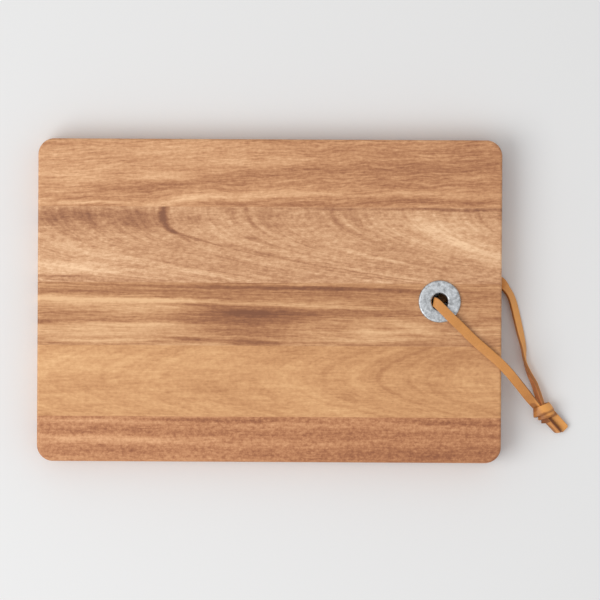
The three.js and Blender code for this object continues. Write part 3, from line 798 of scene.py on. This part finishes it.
class CHEESEBOARD_OT_set_stage(bpy.types.Operator):
    """Set the pale floor, the soft lamp, the even light and the camera straight above the board"""
    bl_idname = "cheeseboard.set_stage"
    bl_label = "Set stage"

    def execute(self, context):
        stage = context.scene.cheese_board_stage
        context.scene.view_settings.view_transform = "Standard"
        deselect()
        face = BOARD_HIGH.z + BOARD_FOOT.z
        bpy.ops.object.camera_add(location=(*VIEW_MIDDLE, stage.camera_height), rotation=(0, 0, VIEW_TURN))
        camera = context.object
        camera.name = "camera_above"
        camera.data.sensor_width = SENSOR_WIDTH
        camera.data.lens = SENSOR_WIDTH * (stage.camera_height - face) / stage.view_width
        camera.data.clip_start = 10 * MM
        context.scene.camera = camera

        bpy.ops.object.light_add(type="AREA", location=LAMP_PLACE)
        lamp = context.object
        lamp.name = "soft_key"
        lamp.data.shape = "SQUARE"
        lamp.data.size = LAMP_SIDE
        lamp.data.energy = stage.key_power
        lamp.rotation_euler = (-lamp.location).to_track_quat("-Z", "Y").to_euler()

        world = bpy.data.worlds.new("studio")
        world.use_nodes = True
        context.scene.world = world
        tree = world.node_tree
        tree.nodes.clear()
        rays = add_node(tree, "ShaderNodeLightPath").outputs
        seen = rays["Is Camera Ray"]
        for kind in ("Is Glossy Ray", "Is Transmission Ray"):
            seen = add_node(tree, "ShaderNodeMath", {0: seen, 1: rays[kind]}, operation="MAXIMUM").outputs[0]
        even = add_node(tree, "ShaderNodeBackground", {"Color": (1, 1, 1, 1), "Strength": stage.sky_strength})
        backdrop = add_node(tree, "ShaderNodeBackground", {"Color": (*stage.floor, 1), "Strength": 1})
        both = add_node(tree, "ShaderNodeMixShader", {0: seen, 1: even.outputs[0], 2: backdrop.outputs[0]})
        add_node(tree, "ShaderNodeOutputWorld", {"Surface": both.outputs[0]})

        deselect()
        bpy.ops.mesh.primitive_circle_add(vertices=ROUND_FACETS, radius=FLOOR_RADIUS, fill_type="NGON",
                                          location=(0, 0, 0))
        floor = context.object
        floor.name = "floor"
        material, tree, shader = new_material("matt_studio_paint")
        set_inputs(tree, shader, {
            "Base Color": (*stage.floor, 1), "Roughness": 0.9, "Specular IOR Level": 0})
        floor.data.materials.append(material)
        return {"FINISHED"}


class CHEESEBOARD_OT_add_lace(bpy.types.Operator):
    """Lay the flat leather lace through the eyelet and tie its ends in a knot"""
    bl_idname = "cheeseboard.add_lace"
    bl_label = "Add lace"

    def execute(self, context):
        lace = context.scene.cheese_board_lace
        materials = lace_materials(lace)
        section = lace_section(lace)
        routes = {
            "front_strand": lace_route(FRONT_STRAND, before=MEETING_RUN, after=KNOT_RUN),
            "rear_strand": lace_route(REAR_STRAND, before=MEETING_RUN, after=KNOT_RUN),
            "tail_upper": lace_route(UPPER_TAIL, before=KNOT_RUN),
            "tail_lower": lace_route(LOWER_TAIL, before=KNOT_RUN),
        }
        pieces = {name: sweep(f"leather_{name}", *route, section, materials, skew=END_SKEWS.get(name, 0))
                  for name, route in routes.items()}
        pieces["knot"] = self.tie_knot(lace, section, materials)
        for name, piece in pieces.items():
            hand_over(piece, f"lace_{name}")

        return {"FINISHED"}

    def tie_knot(self, lace, section, materials):
        """The knot's turns of lace, joined round a core of the rough leather that shows between them."""
        turns = [sweep(f"turn_{number}", *turn_route(turn, lace), section, materials)
                 for number, turn in enumerate(KNOT_TURNS)]
        deselect()
        bpy.ops.mesh.primitive_uv_sphere_add(segments=CORE_FACETS, ring_count=CORE_FACETS // 2, radius=1,
                                             location=(0, 0, 0))
        core = bpy.context.object
        heading = Matrix.Rotation(math.radians(KNOT_HEADING), 4, "Z")
        put_in_place(core, Matrix.Translation(knot_middle()) @ heading
                     @ Matrix.LocRotScale(CORE_SHIFT, None, CORE_SIZE))
        core.data.materials.append(materials[2])
        bpy.ops.object.shade_smooth()
        for turn in turns:
            turn.select_set(True)
        bpy.context.view_layer.objects.active = turns[0]
        bpy.ops.object.join()
        turns[0].name = "leather_knot"
        return turns[0]


class CHEESEBOARD_OT_add_staves(bpy.types.Operator):
    """Saw the five acacia staves from one rounded, bored and eased panel"""
    bl_idname = "cheeseboard.add_staves"
    bl_label = "Add staves"

    def execute(self, context):
        wood = context.scene.cheese_board_wood
        panel = self.add_panel(wood)
        self.bore(panel, EYELET_FRONT[1].z + OVERRUN, BARREL_RADIUS)
        self.bore(panel, REAR_SEAT, RECESS_RADIUS)
        for number, (low, high) in enumerate(STAVE_BOXES):
            self.saw(panel, number, low, high, wood)
        bpy.data.objects.remove(panel)
        return {"FINISHED"}

    def add_panel(self, wood):
        """The whole panel as one blank, with rounded corners and eased edges."""
        deselect()
        size = BOARD_HIGH - BOARD_LOW
        bpy.ops.mesh.primitive_cube_add(size=1, location=(BOARD_LOW + BOARD_HIGH) / 2, scale=size)
        panel = bpy.context.object
        bpy.ops.object.transform_apply(location=True, rotation=True, scale=True)
        bpy.ops.object.mode_set(mode="EDIT")
        pick_edges(lambda a, b: abs(a.z - b.z) > size.z / 2)
        bpy.ops.mesh.bevel(offset=wood.corner_radius, segments=CORNER_FACETS, affect="EDGES")
        pick_edges(lambda a, b: abs(a.z - b.z) < MERGE)
        bpy.ops.mesh.bevel(offset=wood.edge_ease, segments=EDGE_FACETS, affect="EDGES")
        bpy.ops.object.mode_set(mode="OBJECT")
        return panel

    def bore(self, panel, top, radius):
        """Cuts a round hole from the underside up to a height."""
        deselect()
        foot = BOARD_LOW.z - OVERRUN
        bpy.ops.mesh.primitive_cylinder_add(vertices=ROUND_FACETS, radius=radius, depth=top - foot,
                                            location=(EYELET_X, 0, (top + foot) / 2))
        drill = bpy.context.object
        apply_modifier(panel, "BOOLEAN", operation="DIFFERENCE", solver="EXACT", object=drill)
        bpy.data.objects.remove(drill)

    def saw(self, panel, number, low, high, wood):
        """Saws one stave out at its two glue lines. The glue lines have no width to the eye."""
        node = f"stave_{number + 1}"
        stave = panel.copy()
        stave.data = panel.data.copy()
        stave.name = f"acacia_{node}"
        bpy.context.scene.collection.objects.link(stave)
        pick(stave)
        if number > 0:
            self.cut((high.y + STAVE_BOXES[number - 1][0].y) / 2, clear_outer=True)
        if number < STAVE_COUNT - 1:
            self.cut((low.y + STAVE_BOXES[number + 1][1].y) / 2, clear_inner=True)
        put_in_place(stave, BOARD_PLACE)
        smooth(stave)
        material = oiled_acacia(f"oiled_acacia_{number + 1}", WOODS[node], getattr(wood, node))
        stave.data.materials.append(material)
        hand_over(stave, node)

    def cut(self, line, **side):
        """Cuts the picked stave along a glue line and clears what lies on one side of it."""
        bpy.ops.object.mode_set(mode="EDIT")
        bpy.ops.mesh.select_all(action="SELECT")
        bpy.ops.mesh.bisect(plane_co=(0, line, 0), plane_no=(0, 1, 0), use_fill=True, **side)
        bpy.ops.object.mode_set(mode="OBJECT")


class CHEESEBOARD_OT_add_eyelet(bpy.types.Operator):
    """Turn the eyelet's two flanged halves, which meet inside the wood"""
    bl_idname = "cheeseboard.add_eyelet"
    bl_label = "Add eyelet"

    def execute(self, context):
        eyelet = context.scene.cheese_board_eyelet
        material = galvanised_steel("galvanised_steel", eyelet.steel)
        self.turn("eyelet_front", EYELET_FRONT[1].z, BOARD_HIGH.z, eyelet, material)
        self.turn("eyelet_rear", EYELET_REAR[0].z, REAR_SEAT, eyelet, material)
        return {"FINISHED"}

    def turn(self, node, face, seat, eyelet, material):
        """One half, ring by ring: up the hole, out over the flange's face, round the rim and back."""
        outline = ((HOLE_RADIUS, BARREL_JOINT), (HOLE_RADIUS, face), (FLANGE_RADIUS, face),
                   (FLANGE_RADIUS, seat), (BARREL_RADIUS, seat), (BARREL_RADIUS, BARREL_JOINT))
        deselect()
        radius, height = outline[0]
        bpy.ops.mesh.primitive_circle_add(vertices=ROUND_FACETS, radius=radius, location=(0, 0, height))
        half = bpy.context.object
        half.name = f"steel_{node}"
        bpy.ops.object.transform_apply(location=True, rotation=True, scale=True)
        bpy.ops.object.mode_set(mode="EDIT")
        bpy.ops.mesh.select_all(action="SELECT")
        for next_radius, next_height in outline[1:] + outline[:1]:
            bpy.ops.mesh.extrude_region_move(
                TRANSFORM_OT_translate={"value": (0, 0, next_height - height)})
            growth = next_radius / radius
            bpy.ops.transform.resize(value=(growth, growth, 1), center_override=(0, 0, 0))
            radius, height = next_radius, next_height
        bpy.ops.mesh.select_all(action="SELECT")
        bpy.ops.mesh.remove_doubles(threshold=MERGE)
        bpy.ops.mesh.normals_make_consistent(inside=False)
        for ring, size in ((FLANGE_RADIUS, eyelet.rim_round), (HOLE_RADIUS, eyelet.mouth_round)):
            pick_edges(lambda a, b: all(
                abs(p.z - face) < MERGE * 10 and abs(p.to_2d().length - ring) < MERGE * 10 for p in (a, b)))
            bpy.ops.mesh.bevel(offset=size, segments=EDGE_FACETS, affect="EDGES")
        bpy.ops.object.mode_set(mode="OBJECT")
        put_in_place(half, BOARD_PLACE @ Matrix.Translation((EYELET_X, 0, 0)))
        smooth(half)
        half.data.materials.append(material)
        hand_over(half, node)


class CHEESEBOARD_PT_panel(bpy.types.Panel):
    bl_label = "Cheese board"
    bl_idname = "CHEESEBOARD_PT_panel"
    bl_space_type = "VIEW_3D"
    bl_region_type = "UI"
    bl_category = "Cheese Board"

    def draw(self, context):
        for group, operator in zip(SETTINGS, OPERATORS):
            settings = getattr(context.scene, group)
            box = self.layout.box()
            for name in settings.__annotations__:
                box.prop(settings, name)
            box.operator(operator.bl_idname)


# The settings and the operators in the same order
SETTINGS = {
    "cheese_board_stage": CheeseBoardStage,
    "cheese_board_lace": CheeseBoardLace,
    "cheese_board_wood": CheeseBoardWood,
    "cheese_board_eyelet": CheeseBoardEyelet,
}
OPERATORS = (
    CHEESEBOARD_OT_set_stage,
    CHEESEBOARD_OT_add_lace,
    CHEESEBOARD_OT_add_staves,
    CHEESEBOARD_OT_add_eyelet,
)
CLASSES = (*SETTINGS.values(), *OPERATORS, CHEESEBOARD_PT_panel)


def register():
    for cls in CLASSES:
        bpy.utils.register_class(cls)
    for name, group in SETTINGS.items():
        setattr(bpy.types.Scene, name, PointerProperty(type=group))


def unregister():
    for name in SETTINGS:
        delattr(bpy.types.Scene, name)
    for cls in reversed(CLASSES):
        bpy.utils.unregister_class(cls)


def main():
    register()
    bpy.ops.cheeseboard.set_stage()
    bpy.ops.cheeseboard.add_lace()
    bpy.ops.cheeseboard.add_staves()
    bpy.ops.cheeseboard.add_eyelet()


if __name__ == "__main__":
    main()
